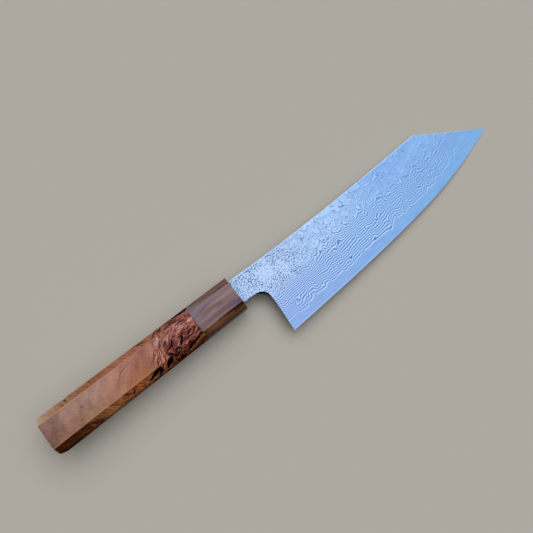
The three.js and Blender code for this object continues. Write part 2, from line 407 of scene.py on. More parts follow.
def core_skin():
    """The core: bare and ground along the edge, flat where the outer layers cover it."""
    ring = blade_outline(0)
    lines = [edge_above(BEVEL_HEIGHT), edge_above(CORE_REVEAL)]
    for line in lines:
        ring = with_point(with_point(ring, line[0]), line[-1])
    plane, faces, border, on_lines = fill(ring, lines)
    height = np.minimum(half_thickness(*plane.T), CORE_THICKNESS / 2)
    skin = Skin()
    top, top_faces = skin.plate(plane, faces, height)
    bottom, bottom_faces = skin.plate(plane, faces, -height)
    skin.faces += top_faces
    skin.faces += [face[::-1] for face in bottom_faces]
    skin.band([top[i] for i in border], [bottom[i] for i in border])
    skin.sharp = [(ids[a], ids[b]) for ids in (top, bottom) for a, b in on_lines]
    return skin


def cladding_skin():
    """An outer layer on the right-hand face, with eased borders and a feather edge at the core."""
    ring = blade_outline(CORE_REVEAL)
    base = CORE_THICKNESS / 2
    room = half_thickness(*ring.T) - base
    from_notch = norm(ring - notch_centre(CHOIL_FACE_RADIUS), axis=1)
    ease = SPINE_EASE + np.maximum(0, CHOIL_FACE_RADIUS - from_notch)
    wide = np.minimum(ease, EASE_WIDTH_SHARE * room)
    deep = np.minimum(ease, EASE_DEPTH_SHARE * room)
    skin = Skin()
    under = skin.add(np.c_[ring, np.full(len(ring), base)])
    rings = [under]
    for angle in np.linspace(math.pi / 2, 0, ROUND_STEPS + 1):
        place = inset_ring(ring, wide * (1 - math.sin(angle)))
        height = half_thickness(*place.T) - deep * (1 - math.cos(angle))
        rings.append(skin.add(np.c_[place, height]))
    inner = inset_ring(ring, wide + SUPPORT)
    rings.append(skin.add(np.c_[inner, half_thickness(*inner.T)]))
    for low, high in zip(rings, rings[1:]):
        skin.band(high, low)
    plane, faces, border, _ = fill(inner)
    height = half_thickness(*plane.T)
    skin.faces += skin.plate(plane, faces, height, dict(zip(border, rings[-1])))[1]
    plane, faces, border, _ = fill(ring, step=HIDDEN_STEP)
    floor = np.full(len(plane), base)
    skin.faces += [face[::-1] for face in skin.plate(plane, faces, floor, dict(zip(border, under)))[1]]
    return skin


def octagon(x, inset=0.0):
    """A ring of the handle with softly rounded corners, counter-clockwise as seen from the tip."""
    y, z = (half - inset for half in handle_half(x))
    facet = CORNER_FACET - inset * (2 - math.sqrt(2))
    corners = np.array([
        (y, facet - z), (y, z - facet), (y - facet, z), (facet - y, z),
        (-y, z - facet), (-y, facet - z), (facet - y, -z), (y - facet, -z),
    ])
    reach = CORNER_ROUND * math.tan(math.pi / 8)
    ring = []
    for before, corner, after in zip(np.roll(corners, 1, 0), corners, np.roll(corners, -1, 0)):
        back = (before - corner) / norm(before - corner)
        on = (after - corner) / norm(after - corner)
        ring.append(corner + back * (reach + SUPPORT))
        ring += list(bezier([corner + back * reach, corner, corner + on * reach], ROUND_STEPS))
        ring.append(corner + on * (reach + SUPPORT))
    return np.c_[np.full(len(ring), x), ring]


def round_hole(x, radius):
    """A circle whose points face those of the octagon."""
    around = octagon(x)
    angle = np.arctan2(around[:, 2], around[:, 1])
    return np.c_[np.full(len(angle), x), radius * np.cos(angle), radius * np.sin(angle)]


def slot_hole(x):
    """The tang's slot, whose points face those of the octagon and whose corners are sharp."""
    around = octagon(x)
    angle = np.arctan2(around[:, 2], around[:, 1])
    y, z = SLOT_HEIGHT / 2, SLOT_WIDTH / 2
    reach = np.minimum(y / np.maximum(TINY, abs(np.cos(angle))), z / np.maximum(TINY, abs(np.sin(angle))))
    ring = np.c_[reach * np.cos(angle), reach * np.sin(angle)]
    for corner in ((y, z), (-y, z), (-y, -z), (y, -z)):
        closest = np.argmin(abs(np.angle(np.exp(1j * (angle - math.atan2(corner[1], corner[0]))))))
        ring[closest] = corner
    return np.c_[np.full(len(ring), x), ring]


def eased_end(x, inward, radius):
    """Rings of a rounded end of the handle, from the side to the end face. `inward` is +1 or -1."""
    rings = []
    for angle in np.linspace(0, math.pi / 2, 2 * ROUND_STEPS + 1):
        place = x + inward * radius * (1 - math.sin(angle))
        rings.append(octagon(place, radius * (1 - math.cos(angle))))
    return rings


def loft(rings, closed=False):
    """A skin over rings that run from the butt to the tip outside and back again inside."""
    skin = Skin()
    ids = [skin.add(ring) for ring in rings]
    if closed:
        ids.append(ids[0])
    for one, two in zip(ids, ids[1:]):
        skin.band(two, one)
    if not closed:
        skin.faces += [tuple(reversed(ids[0])), tuple(ids[-1])]
    return skin


def ferrule_skin():
    """The ferrule, with the tang's slot in front and a socket for the dowel behind."""
    back = -FERRULE_LENGTH
    rings = eased_end(back, 1, JOINT_EASE)[::-1]
    rings += [octagon(back + SUPPORT), octagon(-FRONT_EASE - SUPPORT)]
    rings += eased_end(0, -1, FRONT_EASE)
    rings += [slot_hole(0), slot_hole(-FERRULE_WALL)]
    rings += [round_hole(-FERRULE_WALL, BORE_RADIUS), round_hole(back, BORE_RADIUS)]
    return loft(rings, closed=True)


def handle_skin():
    """The handle, with a slightly domed butt and a blind bore for the dowel."""
    front = -FERRULE_LENGTH - HANDLE_JOINT
    rim = octagon(-HANDLE_LENGTH, BUTT_ROUND)
    rings = []
    for share in DOME_SHARES:
        bulge = BUTT_DOME * (1 - share ** 2)
        rings.append(rim * (1, share, share) - (bulge, 0, 0))
    rings += eased_end(-HANDLE_LENGTH, 1, BUTT_ROUND)[::-1]
    rings += [octagon(-HANDLE_LENGTH + BUTT_ROUND + SUPPORT), octagon(front - SUPPORT)]
    rings += eased_end(front, -1, JOINT_EASE)
    rings += [round_hole(front, BORE_RADIUS), round_hole(-BORE_END, BORE_RADIUS)]
    return loft(rings)


# Shader arithmetic

class Value:
    """A number, a vector or a colour that a node works out, with plain arithmetic between values."""

    def __init__(self, socket):
        self.socket = socket

    def __add__(self, other):
        return combine("ADD", self, other)

    def __sub__(self, other):
        return combine("SUBTRACT", self, other)

    def __rsub__(self, other):
        return combine("SUBTRACT", other, self)

    def __mul__(self, other):
        return combine("MULTIPLY", self, other)

    def __truediv__(self, other):
        return combine("DIVIDE", self, other)

    def __neg__(self):
        return self * -1

    def __abs__(self):
        return combine("ABSOLUTE", self)


def put(socket, value):
    """Links a value to a socket, or sets the socket to a plain number, vector or colour."""
    if isinstance(value, Value):
        socket.id_data.links.new(value.socket, socket)
    else:
        socket.default_value = value


def node(kind, inputs, output=0, tree=None, **settings):
    """Adds a node, to the tree that its inputs come from if none is given, and returns its value."""
    if tree is None:
        tree = next(v.socket.id_data for v in inputs.values() if isinstance(v, Value))
    made = tree.nodes.new(kind)
    for key, value in settings.items():
        setattr(made, key, value)
    for key, value in inputs.items():
        put(made.inputs[key], value)
    return Value(made.outputs[output])


def combine(operation, *values):
    """An operation between numbers, or between the parts of vectors and colours."""
    numbers = all(v.socket.type == "VALUE" for v in values if isinstance(v, Value))
    kind = "ShaderNodeMath" if numbers else "ShaderNodeVectorMath"
    return node(kind, dict(enumerate(values)), operation=operation)


def most(*values):
    return reduce(partial(combine, "MAXIMUM"), values)


def least(*values):
    return reduce(partial(combine, "MINIMUM"), values)


def past(value, limit):
    """How far a value is past a limit, and 0 before it."""
    return most(0, value - limit)


def wave(value, length):
    """Rises from 0 to 0.5 and falls back to 0, once in each length."""
    return combine("PINGPONG", value / length, 0.5)


def shift(value, low, high, new_low=0, new_high=1, kind="LINEAR"):
    """Maps low to high onto new_low to new_high and holds both ends."""
    inputs = {"Value": value, "From Min": low, "From Max": high, "To Min": new_low, "To Max": new_high}
    return node("ShaderNodeMapRange", inputs, interpolation_type=kind)


def smooth(value, low, high, new_low=0, new_high=1):
    """The same with a soft start and end; low may be the larger."""
    return shift(value, low, high, new_low, new_high, "SMOOTHSTEP")


def span(share, low, high):
    """Maps 0 to 1 onto low to high."""
    return shift(share, 0, 1, low, high)


def parts(vector):
    made = node("ShaderNodeSeparateXYZ", {0: vector}).socket.node
    return [Value(socket) for socket in made.outputs]


def join(x, y, z):
    return node("ShaderNodeCombineXYZ", {0: x, 1: y, 2: z})


def scaled(vector, factor):
    return node("ShaderNodeVectorMath", {0: vector, "Scale": factor}, operation="SCALE")


def distance(one, two):
    return node("ShaderNodeVectorMath", {0: one, 1: two}, "Value", operation="DISTANCE")


def turned(place, degrees):
    """The place turned about Z, so that noise can be stretched along another direction."""
    inputs = {"Vector": place, "Angle": -math.radians(degrees)}
    return node("ShaderNodeVectorRotate", inputs, rotation_type="Z_AXIS")


def noise(place, size, detail=2, rough=0.5, swirl=0):
    """Cloudy noise about 0.5, with features of a size in millimetres, or one size for each axis."""
    size = size if isinstance(size, tuple) else (size,) * 3
    inputs = {"Vector": place / size, "Scale": 1, "Detail": detail, "Roughness": rough, "Distortion": swirl}
    return node("ShaderNodeTexNoise", inputs, "Fac")


def swing(place, size, reach, **settings):
    """Noise that swings about 0 by a reach in millimetres."""
    return (noise(place, size, **settings) - 0.5) * (2 * reach)


def stroke(flat, start, end):
    """How far a place is outside a straight stroke in the XY plane. Each end is X, Y and width."""
    along = Vector((end[0] - start[0], end[1] - start[1], 0))
    off = flat - (start[0], start[1], 0)
    inputs = {0: off, 1: along / along.length_squared}
    share = node("ShaderNodeVectorMath", inputs, "Value", operation="DOT_PRODUCT")
    share = node("ShaderNodeClamp", {0: share})
    return distance(off, scaled(along, share)) - span(share, start[2] / 2, end[2] / 2)


def nearest(flat, chains):
    """How far a place is outside the nearest of some chains of strokes."""
    return least(*[stroke(flat, *ends) for points in chains for ends in zip(points, points[1:])])


# Colours

def tone(red, green, blue):
    """A colour as it is seen, from 0 to 255, in the shader's linear numbers."""
    seen = (c / 255 for c in (red, green, blue))
    return tuple(((c + 0.055) / 1.055) ** 2.4 if c > 0.04 else c / 12.92 for c in seen) + (1,)


def mix(share, one, two):
    """A colour between one and two."""
    return node("ShaderNodeMix", {0: share, 6: one, 7: two}, 2, data_type="RGBA")


def paint(colour, *coats):
    """A colour with coats laid over it in turn. Each coat is a share and a colour."""
    for share, coat in coats:
        colour = mix(share, colour, coat)
    return colour


def tint(colour, share, factors):
    """A colour with its red, green and blue multiplied by factors, as far as the share goes."""
    return mix(share, colour, colour * factors)


def shade(share, *stops):
    """A colour ramp; each stop is a place and a colour."""
    made = node("ShaderNodeValToRGB", {0: share})
    ramp = made.socket.node.color_ramp
    while len(ramp.elements) < len(stops):
        ramp.elements.new(1)
    for element, (place, colour) in zip(ramp.elements, stops):
        element.position = place
        element.color = colour
    return made


class Shader:
    """A new material with one surface."""

    def __init__(self, name):
        self.material = bpy.data.materials.new(name)
        self.material.use_nodes = True
        self.tree = self.material.node_tree
        self.tree.nodes.clear()
        self.surface = self.tree.nodes.new("ShaderNodeBsdfPrincipled")
        output = self.tree.nodes.new("ShaderNodeOutputMaterial")
        self.tree.links.new(self.surface.outputs["BSDF"], output.inputs["Surface"])

    def set(self, **inputs):
        """Sets the surface's own sockets, with _ for a space in their names."""
        for key, value in inputs.items():
            put(self.surface.inputs[key.replace("_", " ")], value)

    def place(self):
        """The place on the piece, in millimetres in the knife's frame."""
        return scaled(node("ShaderNodeTexCoord", {}, "Object", self.tree), 1 / MM)

    def normal(self):
        """X, Y and Z of the way that the surface faces, in the knife's frame."""
        return parts(node("ShaderNodeTexCoord", {}, "Normal", self.tree))

    def facing_ends(self):
        """The share of faces that look along the handle, to either end."""
        return smooth(abs(self.normal()[0]), 0.75, 0.95)

    def stored(self, name):
        """A value that the mesh holds for each of its points."""
        return node("ShaderNodeAttribute", {}, "Fac", self.tree, attribute_name=name)

    def bump(self, height, depth):
        """A relief of a depth in millimetres."""
        inputs = {"Height": height, "Strength": 1, "Distance": depth * MM}
        self.set(Normal=node("ShaderNodeBump", inputs))


# Laminated steel: how its layers lie, by places along the blade and heights above the edge
LAYERS = 18
LAYER_BUNCH = 0.08
FLAT_HEIGHT = 32
JOG = 1.7
LINES_HEIGHT, LINES_FULL, LINES_FALL = 26, 62, 0.08
BELLY_DIP = 3
SWEEP_START, SWEEP_RISE = 132, 0.2
TIP_PLAIN, TIP_FALL = 160, 0.4
SIDE_SHIFT = 60
PALE_PATCH = (21, -0.8, SIDE_SHIFT)

# Stretches along the blade, or up from the edge or the heel, over which its looks change
ROLL_HEIGHT, SWAY_HEIGHT, SWEEP_HEIGHT = (7, 22), (7, 12), (CORE_REVEAL, 20)
WELD_DROP, BELLY, CRAZED_REACH = (110, 140), (118, 130), (92, 62)
PIT_REACH, PIT_HEIGHT = (58, 32), (21.5, 27)
CROWD_START, CROWD_HEIGHT = (2, 14), (30, 39)
FADE_MIDDLE, FADE_BELLY, FADE_TIP = (80, 120), (115, 140), (140, 165)
FADE_HEEL, FADE_LOW = (32, 20), (16, 10)
STRONG_START, STRONG_END = (25, 45), (108, 86)
FROST_REACH, FROST_HEIGHT = (112, 55), (16, 29)
NECK_REACH, PLAIN_START, SEAM_REACH = (90, 54), (105, 145), (168, 156)
SPINE_RIM, EDGE_RIM, EDGE_RIM_REACH = (1.2, 0.5), (1.1, 0.6), (115, 70)
# Heights over which the heel wall is drawn dark, as painted shade and painted dark reflection
HEEL_PAINTED_SHADE = (HEEL[1], -24)

# Its finish, with factors for red, green and blue
ETCH_ROUGHNESS = 0.42
WHITE_STEEL = tone(255, 252, 248)
FROST = (1.6, 1.38, 1.12)
# Painted reflection: a blue tint that stands for the sky mirrored in the steel
PAINTED_SKY_TINT = (0.70, 0.86, 1)


def layer_jogs(here):
    """How far the layer lines jog up and down, about half of it in steps."""
    ripple = swing(here, (8, 19, 1), 4.6, rough=0.6) / JOG
    steps = combine("FLOOR", ripple) + smooth(combine("FRACT", ripple), 0.25, 0.75)
    return (steps * 0.55 + ripple * 0.45) * JOG


def layer_depth(here, x, up):
    """How many layers lie between a place and the core, the height that the weld line follows, and
    the share of the flat, where the grind runs along the layers and they open into islands."""
    roll = swing(here, (24, 34, 1), 2.4, detail=0) * smooth(up, *ROLL_HEIGHT, 0.8, 1.7)
    jogs = layer_jogs(here)
    weld = up + roll + jogs - past(x, TIP_PLAIN) * TIP_FALL - smooth(x, *WELD_DROP)
    over = up + jogs * 0.6 + past(x, LINES_FULL) * LINES_FALL - LINES_HEIGHT
    high = smooth(over + swing(here, 6, 4), -3, 4)
    opened = most(0, over) * 0.45
    sway = swing(here, (12, 9, 1), 1.5, detail=1) * smooth(up, *SWAY_HEIGHT)
    sweep = past(x, SWEEP_START) * SWEEP_RISE - smooth(x, *BELLY) * BELLY_DIP
    sweep *= smooth(up, *SWEEP_HEIGHT)
    rise = shift(weld + sway - opened + sweep, CORE_REVEAL, FLAT_HEIGHT)
    bunch = combine("SINE", rise * math.tau) * (LAYER_BUNCH / math.tau)
    islands = swing(here, (7, 9, 1), 2.6, detail=3, rough=0.6)
    crazed = swing(here, (3, 3.6, 1), 1.7) * smooth(x, *CRAZED_REACH)
    return (rise - bunch) * LAYERS + (islands + crazed) * high, weld, high


def layer_lines(depth, high):
    """The bright ridge and the dark groove of each layer, both thinner on the flat, and a number
    from 0 to 1 that is the layer's own."""
    share = combine("FRACT", depth)
    count = {"W": combine("FLOOR", depth)}
    layer = node("ShaderNodeTexWhiteNoise", count, "Value", noise_dimensions="1D")
    ridge = smooth(abs(share - span(high, 0.30, 0.16)), span(high, 0.29, 0.16), 0.03)
    groove = smooth(abs(share - span(high, 0.66, 0.92)), span(high, 0.30, 0.14), 0.03)
    return ridge, groove, layer


def line_fade(x, up, wander):
    """How strong the etch stays. It weakens in steps towards the tip, and low down by the heel."""
    by_heel = smooth(x, *FADE_HEEL) * smooth(up, *FADE_LOW)
    to_tip = smooth(wander, *FADE_MIDDLE) * 0.42 + smooth(x, *FADE_BELLY) * 0.12
    to_tip += smooth(x, *FADE_TIP) * 0.22
    return 1 - to_tip - by_heel * 0.55


def line_contrast(here, wander, weld, high, layer, fade, skin):
    """How strong the layer lines are: uneven, strongest in the blade's middle, faint on forged skin."""
    patch = smooth(noise(here, (9, 5, 1)), 0.30, 0.60, 0.55, 1.2)
    middle = smooth(wander, *STRONG_START) * smooth(wander, *STRONG_END) * (1 - high)
    by_core = smooth(weld, CORE_REVEAL + 7, CORE_REVEAL + 2, 1, 1.05)
    return patch * fade * span(layer, 0.85, 1.15) * by_core * span(skin, 1, 0.12) * span(middle, 1, 1.3)


def neck_pits(here, x, up):
    """The forged skin by the neck: how far it reaches, its dark pits and its bright flecks."""
    skin = smooth(x + swing(here, 12, 18), *PIT_REACH)
    skin *= smooth(up + swing(here, 7, 6), *PIT_HEIGHT)
    crowd = smooth(noise(here, (7, 6, 1), detail=1), 0.20, 0.55)
    crowd *= smooth(distance(here, PALE_PATCH), 2, 8)
    crowd *= smooth(x, *CROWD_START, 0.6, 1) * smooth(up, *CROWD_HEIGHT, 0.72, 1)
    start = span(crowd, 0.61, 0.51)
    pits = smooth(noise(here, 0.78, detail=1), start, span(crowd, 0.67, 0.58))
    specks = smooth(noise(here, 0.5, detail=1), start, span(crowd, 0.69, 0.60))
    flecks = smooth(noise(here + (0, 50, 0), 0.8, detail=1), 0.50, 0.62)
    return skin, most(pits, specks) * skin, flecks * skin * 0.95


def rims_and_walls(s, x, y, up):
    """Shares of the polished finger notch and heel wall, drawn dark as painted shade and painted dark
    reflection, of painted highlights on the rims along spine, edge and outline, and of the outer walls,
    drawn dull as painted dark reflection."""
    level = abs(s.normal()[2])
    here = join(x, y, 0)
    # Painted shade and painted dark reflection: the finger notch's eased rim and walls and the heel wall
    # are drawn near black
    to_rim = distance(here, (*notch_centre(CHOIL_FACE_RADIUS), 0))
    rim = smooth(to_rim, CHOIL_FACE_RADIUS + 0.1, CHOIL_FACE_RADIUS - 0.1)
    notch = smooth(distance(here, (*CHOIL, 0)), CHOIL_RADIUS + 5, CHOIL_RADIUS + 3)
    heel = smooth(x - heel_wall(y), 0.7, 0.5) * smooth(y, CHOIL[1] + 2, CHOIL[1] - 2)
    heel *= smooth(y, *HEEL_PAINTED_SHADE, 0.45, 0.95)
    polish_and_painted_shade = most(rim, most(notch, heel) * smooth(level, 0.98, 0.9))
    # Painted highlights: eased faces, a line along the spine and a line along the edge are drawn near white
    by_spine = smooth(s.stored("below_spine"), *SPINE_RIM) * 0.45
    by_edge = smooth(up, *EDGE_RIM) * smooth(x, *EDGE_RIM_REACH) * 0.3
    return polish_and_painted_shade, most(smooth(level, 0.99, 0.94), by_spine, by_edge), smooth(level, 0.45, 0.15)


def blade_steel():
    """Laminated steel: etched contour lines of the outer layers, a bare core and a pitted neck."""
    s = Shader("damascus_steel")
    x, y, z = parts(s.place())
    up = s.stored("above_edge")
    here = join(x, y, combine("SIGN", z) * SIDE_SHIFT)
    wander = x + swing(here, 14, 14)
    scratch = noise(here, (10, 0.4, 1), detail=3)
    grain = noise(here, 0.45)
    depth, weld, high = layer_depth(here, x, up)
    ridge, groove, layer = layer_lines(depth, high)
    skin, pits, flecks = neck_pits(here, x, up)
    polish_and_painted_shade, bright, wall = rims_and_walls(s, x, y, up)
    fade = line_fade(x, up, wander)
    contrast = line_contrast(here, wander, weld, high, layer, fade, skin)
    core = smooth(weld, CORE_REVEAL + 0.15, CORE_REVEAL - 0.1)
    seam = smooth(abs(weld - (CORE_REVEAL + 0.35)), 0.5, 0.05) * fade * smooth(x, *SEAM_REACH)
    frost = smooth(x + swing(here, 14, 12), *FROST_REACH)
    frost *= smooth(up + swing(here, 7, 5), *FROST_HEIGHT)

    bare = mix(smooth(scratch, 0.35, 0.65), tone(179, 187, 200), tone(201, 207, 218))
    by_neck = smooth(x, *NECK_REACH)
    dull = mix(by_neck, tone(193, 200, 213), tone(183, 190, 206))
    pale = mix(by_neck, tone(204, 210, 222), tone(212, 216, 227))
    flat = paint(pale, (smooth(layer, 0.3, 0.7), dull), (skin, tone(216, 219, 229)))
    etched = paint(tone(201, 203, 213), (smooth(wander, *PLAIN_START), bare), (high, flat))
    line = contrast * span(high, 1, span(by_neck, 0.60, 0.85))
    colour = paint(
        tint(etched, frost, FROST),
        (smooth(grain, 0.42, 0.7) * 0.3, tone(176, 182, 196)),
        (groove * line, tone(128, 140, 166)),
        (ridge * line, WHITE_STEEL),
        (pits, tone(66, 80, 108)),
        (flecks, WHITE_STEEL),
        (seam, tone(252, 242, 232)),
        (core, bare),
        # Painted highlight on the rims
        (bright, WHITE_STEEL),
        # Painted dark reflection on the outer walls
        (wall, tone(150, 155, 163)),
        # Painted shade and painted dark reflection on the finger notch and the heel wall
        (polish_and_painted_shade, tone(30, 31, 36)),
    )
    rough = ETCH_ROUGHNESS - ridge * contrast * 0.08 + pits * 0.2 - polish_and_painted_shade * 0.2
    rough += core * (span(scratch, 0.27, 0.37) - ETCH_ROUGHNESS)
    relief = (ridge - groove) * contrast - pits * 1.5 + grain * 0.2
    s.bump(relief * (1 - core) + scratch * 0.06, 0.02)
    s.set(Base_Color=colour * PAINTED_SKY_TINT, Metallic=1, Roughness=rough)
    return s.material


# Handle materials

def facets(x, y, soft):
    """Shares of the two diagonal sides, above and below the flat, and of the ridges between them."""
    corner = handle_half(x)[0] - CORNER_FACET
    above, below = y - corner, -y - corner
    ridge = smooth(abs(most(above, below)), 0.55, 0.1)
    return smooth(above, -soft, soft), smooth(below, -soft, soft), ridge


# Marbled horn: streaks by their two ends, each with its width, then colour and strength
HORN_STREAKS = (
    ((-18, 2.6, 0.4), (0, 2, 2.8), (148, 126, 116), 0.65),
    ((-22, 1.6, 0.4), (-10, 0.2, 1.6), (92, 70, 74), 0.42),
    ((-16, -0.8, 0.6), (0, -1.4, 2), (132, 96, 96), 0.55),
    ((-12, -4, 0.5), (0.5, -5, 3), (84, 64, 92), 0.8),
    ((-27, 5.4, 2.2), (-6, 5.8, 0.5), (114, 110, 126), 0.5),
    ((-28, -4.4, 3.4), (-4, -3.6, 2.4), (102, 80, 78), 0.75),
    ((-25, -7.8, 0.6), (-8, -8.2, 1.2), (132, 88, 44), 0.5),
    ((-17, -6.6, 0.2), (0.5, -7.4, 1.1), (36, 8, 4), 1),
    ((-20, 8.6, 0.3), (0.5, 7.2, 1.2), (98, 44, 32), 0.85),
    ((-14, 10.3, 0.4), (0.5, 10, 0.9), (62, 34, 32), 0.7),
)
# Below these heights the figure of the horn and of the burl slants as it runs down the sides
HORN_TURN, BURL_TURN = 3, 4


def buffalo_horn():
    """Marbled horn with soft streaks along the handle."""
    s = Shader("marbled_horn")
    place = s.place()
    x, y, z = parts(place)
    above, below, _ = facets(x, y, 0.5)
    drift = swing(place, (14, 5, 5), 0.9)
    streaky = join(x * 0.06, y + drift, z)
    fine = noise(streaky, 0.5, detail=3)
    value = noise(streaky, (1, 3.4, 3.4), detail=1) * 0.7 + fine * 0.3
    broad = shade(value, (0.36, tone(114, 91, 95)), (0.5, tone(124, 101, 104)), (0.64, tone(137, 114, 115)))
    # Painted shade: the diagonal sides get darker copies of the horn's tones
    upper = shade(value, (0.36, tone(88, 64, 58)), (0.64, tone(118, 95, 88)))
    lower = shade(value, (0.36, tone(78, 50, 36)), (0.64, tone(120, 84, 58)))
    colour = paint(broad, (above, upper), (below, lower))
    flat = join(x, y + drift * 0.5 + past(HORN_TURN, z) * 0.5, 0)
    for start, end, streak, strength in HORN_STREAKS:
        colour = mix(smooth(stroke(flat, start, end), 0.6, -0.6) * strength, colour, tone(*streak))

    joint = smooth(x + drift + FERRULE_LENGTH, 4.5, 0.3) * 0.6 * (1 - below)
    joint *= smooth(y, -5, 1, 0.1, 1) * smooth(z, 1, 6)
    cut = noise(place, (2, 2.6, 2.6), detail=3)
    colour = paint(
        colour,
        # Painted shade along the lower edge
        (smooth(-y, 9.2, 10.6) * 0.75, tone(44, 32, 28)),
        (joint, tone(104, 106, 120)),
        (s.facing_ends(), shade(cut, (0.3, tone(66, 48, 48)), (0.7, tone(122, 98, 92)))),
    )
    s.bump(fine, 0.01)
    s.set(Base_Color=colour, Roughness=span(fine, 0.2, 0.34))
    s.set(Specular_IOR_Level=span(below, 0.15, 0.02))
    return s.material


# Burl wood: black knots and brown veins by the points that they run through, with a width at each
KNOTS = (
    ((-49.6, -2.9, 0.6), (-47.4, -2.4, 1.1), (-45.8, -1, 1), (-44.7, 0.7, 0.4)),
    ((-42.3, -5, 0.4), (-40.8, -3.6, 1.3), (-39.4, -2, 1.2), (-38.7, -0.9, 0.6)),
    ((-47, -6.8, 0.5), (-45.7, -5.5, 0.9), (-44.2, -5.3, 1), (-43.2, -7.2, 0.6)),
    ((-51.2, -5.2, 0.5), (-49.8, -5.9, 1.2), (-48.4, -7, 0.9)),
    ((-56, -10.6, 0.6), (-53.6, -9, 2.1), (-51.5, -8.2, 2.1), (-49.8, -7.3, 0.6)),
    ((-48.6, -8.1, 0.5), (-46.2, -8.2, 0.9), (-44.6, -7.6, 0.4)),
    ((-46.8, -11, 0.5), (-45.2, -10.4, 1.3), (-43.8, -10.8, 0.5)),
    ((-40.2, -9.6, 0.5), (-37.6, -8.6, 0.9), (-33.5, -7.9, 0.7), (-28.6, -6.2, 0.5)),
    ((-70, -11, 0.1), (-65, -9.5, 1.1), (-61.5, -8.5, 1.8), (-58.6, -7.9, 0.8)),
    ((-61.5, -10.6, 0.6), (-59.4, -9.8, 1.6), (-58.2, -8.8, 0.7)),
    ((-79.4, -10.6, 0.2), (-78, -9.4, 0.8), (-76.9, -8.6, 0.3)),
    ((-38, 10.6, 0.4), (-33, 10.4, 1.4), (-28.4, 10.2, 1.5)),
)
VEINS = (
    ((-50.6, -0.2, 1), (-49.4, 0.6, 1.9), (-48.2, 1.8, 0.8)),
    ((-40.5, -1.5, 0.5), (-39.6, -0.9, 1.3), (-38.6, -1.1, 0.5)),
    ((-59.2, -6.4, 0.2), (-57.4, -4, 0.6), (-55.6, -1.6, 0.2)),
    ((-54.2, -0.6, 0.1), (-51.8, 2.6, 0.5), (-49.6, 5.6, 0.2)),
    ((-36.4, -1, 0.2), (-32, -1.3, 0.7), (-28.2, -1.6, 0.5)),
    ((-38, -4.4, 0.4), (-35.5, -3.8, 0.9), (-33.5, -4.4, 0.3)),
    ((-34, -5.4, 0.3), (-30.5, -4.6, 0.8), (-28.2, -4.9, 0.5)),
    ((-37.5, -11.2, 0.4), (-34.5, -10.8, 1), (-30.6, -10.9, 0.5)),
    ((-38.6, 5.6, 0.2), (-35.8, 6.1, 0.8), (-32.4, 5.4, 0.5)),
    ((-45.2, 7.4, 0.6), (-40.5, 8.7, 1.3), (-36.6, 8, 0.6)),
    ((-43, 10, 0.3), (-40.2, 9.8, 0.9), (-37.6, 9.4, 0.4)),
    ((-52.3, 8.2, 0.3), (-51.4, 9.3, 1.2), (-50.7, 10.4, 0.6)),
    ((-48, 8, 0.3), (-47.2, 9, 0.8), (-46.2, 10.2, 0.4)),
    ((-65.5, 11.2, 0.4), (-62.4, 10.2, 1), (-58.8, 9.4, 0.4)),
    ((-105.8, 1.5, 0.1), (-105.3, 1.2, 0.4), (-104.9, 0.9, 0.1)),
    ((-106.4, -8.9, 0.5), (-104.4, -10.3, 2.2), (-101.8, -11.5, 1.6)),
    ((-112.6, 10.9, 0.3), (-111.6, 10.2, 0.7), (-110.8, 9.2, 0.3)),
    ((-114.4, 9.4, 0.2), (-113.7, 8.8, 0.4), (-112.8, 8, 0.2)),
)
RING_CENTRE = (-71, -9.2, 0)
RING_STEP, RING_REACH = 2.3, 14
BUTT_HEART, BUTT_RING_STEP = (0, -24, -11), 2.4

# Stretches along the handle, across it or about the branch over which the wood's figure changes
RINGS_REACH, HEART_REACH = (17, 13), (12, 5)
ARCH_REACH, ARCH_SIDE = (-69, -76), (-1, 2.5)
# Over these the painted highlight along the ridges grows stronger, towards the butt and on the lower side
RIDGE_HIGHLIGHT_REACH, RIDGE_HIGHLIGHT_SIDE = (-80, -110), (2, -2)
COOL_SIDE, COOL_BURL_SIDE = (-5, 5), (-4, 5)
BURL_START, ALONG_START, DASH_START = (-64, -58), (-47, -39), (-58, -52)
GLOOM_START, GLOOM_SIDE = (-56, -50), (3, -4)
PALE_REACH, PALE_SIDE, PLUM_SIDE = (-47, -56), (-3, 3), (-2, 6)

# Tones of the plain wood at places along the handle, on the flat and on the diagonal sides; the diagonal
# sides' tones carry painted light and shade
FLAT_TONES = (
    (-130, (113, 80, 69)),
    (-114, (139, 102, 86)),
    (-98, (155, 117, 97)),
    (-82, (156, 108, 87)),
    (-62, (152, 98, 77)),
)
UPPER_TONES = (
    (-130, (172, 142, 117)),
    (-114, (144, 104, 78)),
    (-96, (135, 87, 60)),
    (-72, (152, 97, 74)),
    (-58, (140, 87, 69)),
)
LOWER_TONES = (
    (-122, (66, 32, 12)),
    (-108, (88, 48, 24)),
    (-95, (146, 98, 60)),
    (-86, (134, 84, 50)),
    (-74, (140, 79, 45)),
    (-67, (148, 94, 57)),
    (-61, (82, 40, 25)),
)

# Factors for red, green and blue: cooler towards the spine, warmer in the burl's amber patches
COOL_WOOD = (1.03, 1.15, 1.35)
COOL_BURL = (0.99, 1.13, 1.44)
AMBER = (1.16, 1, 0.80)


def along_handle(x, stops):
    """Tones at places along the handle, with soft changes between them."""
    butt, front = -HANDLE_LENGTH, -FERRULE_LENGTH
    share = shift(x, butt, front)
    return shade(share, *[((place - butt) / (front - butt), tone(*seen)) for place, seen in stops])


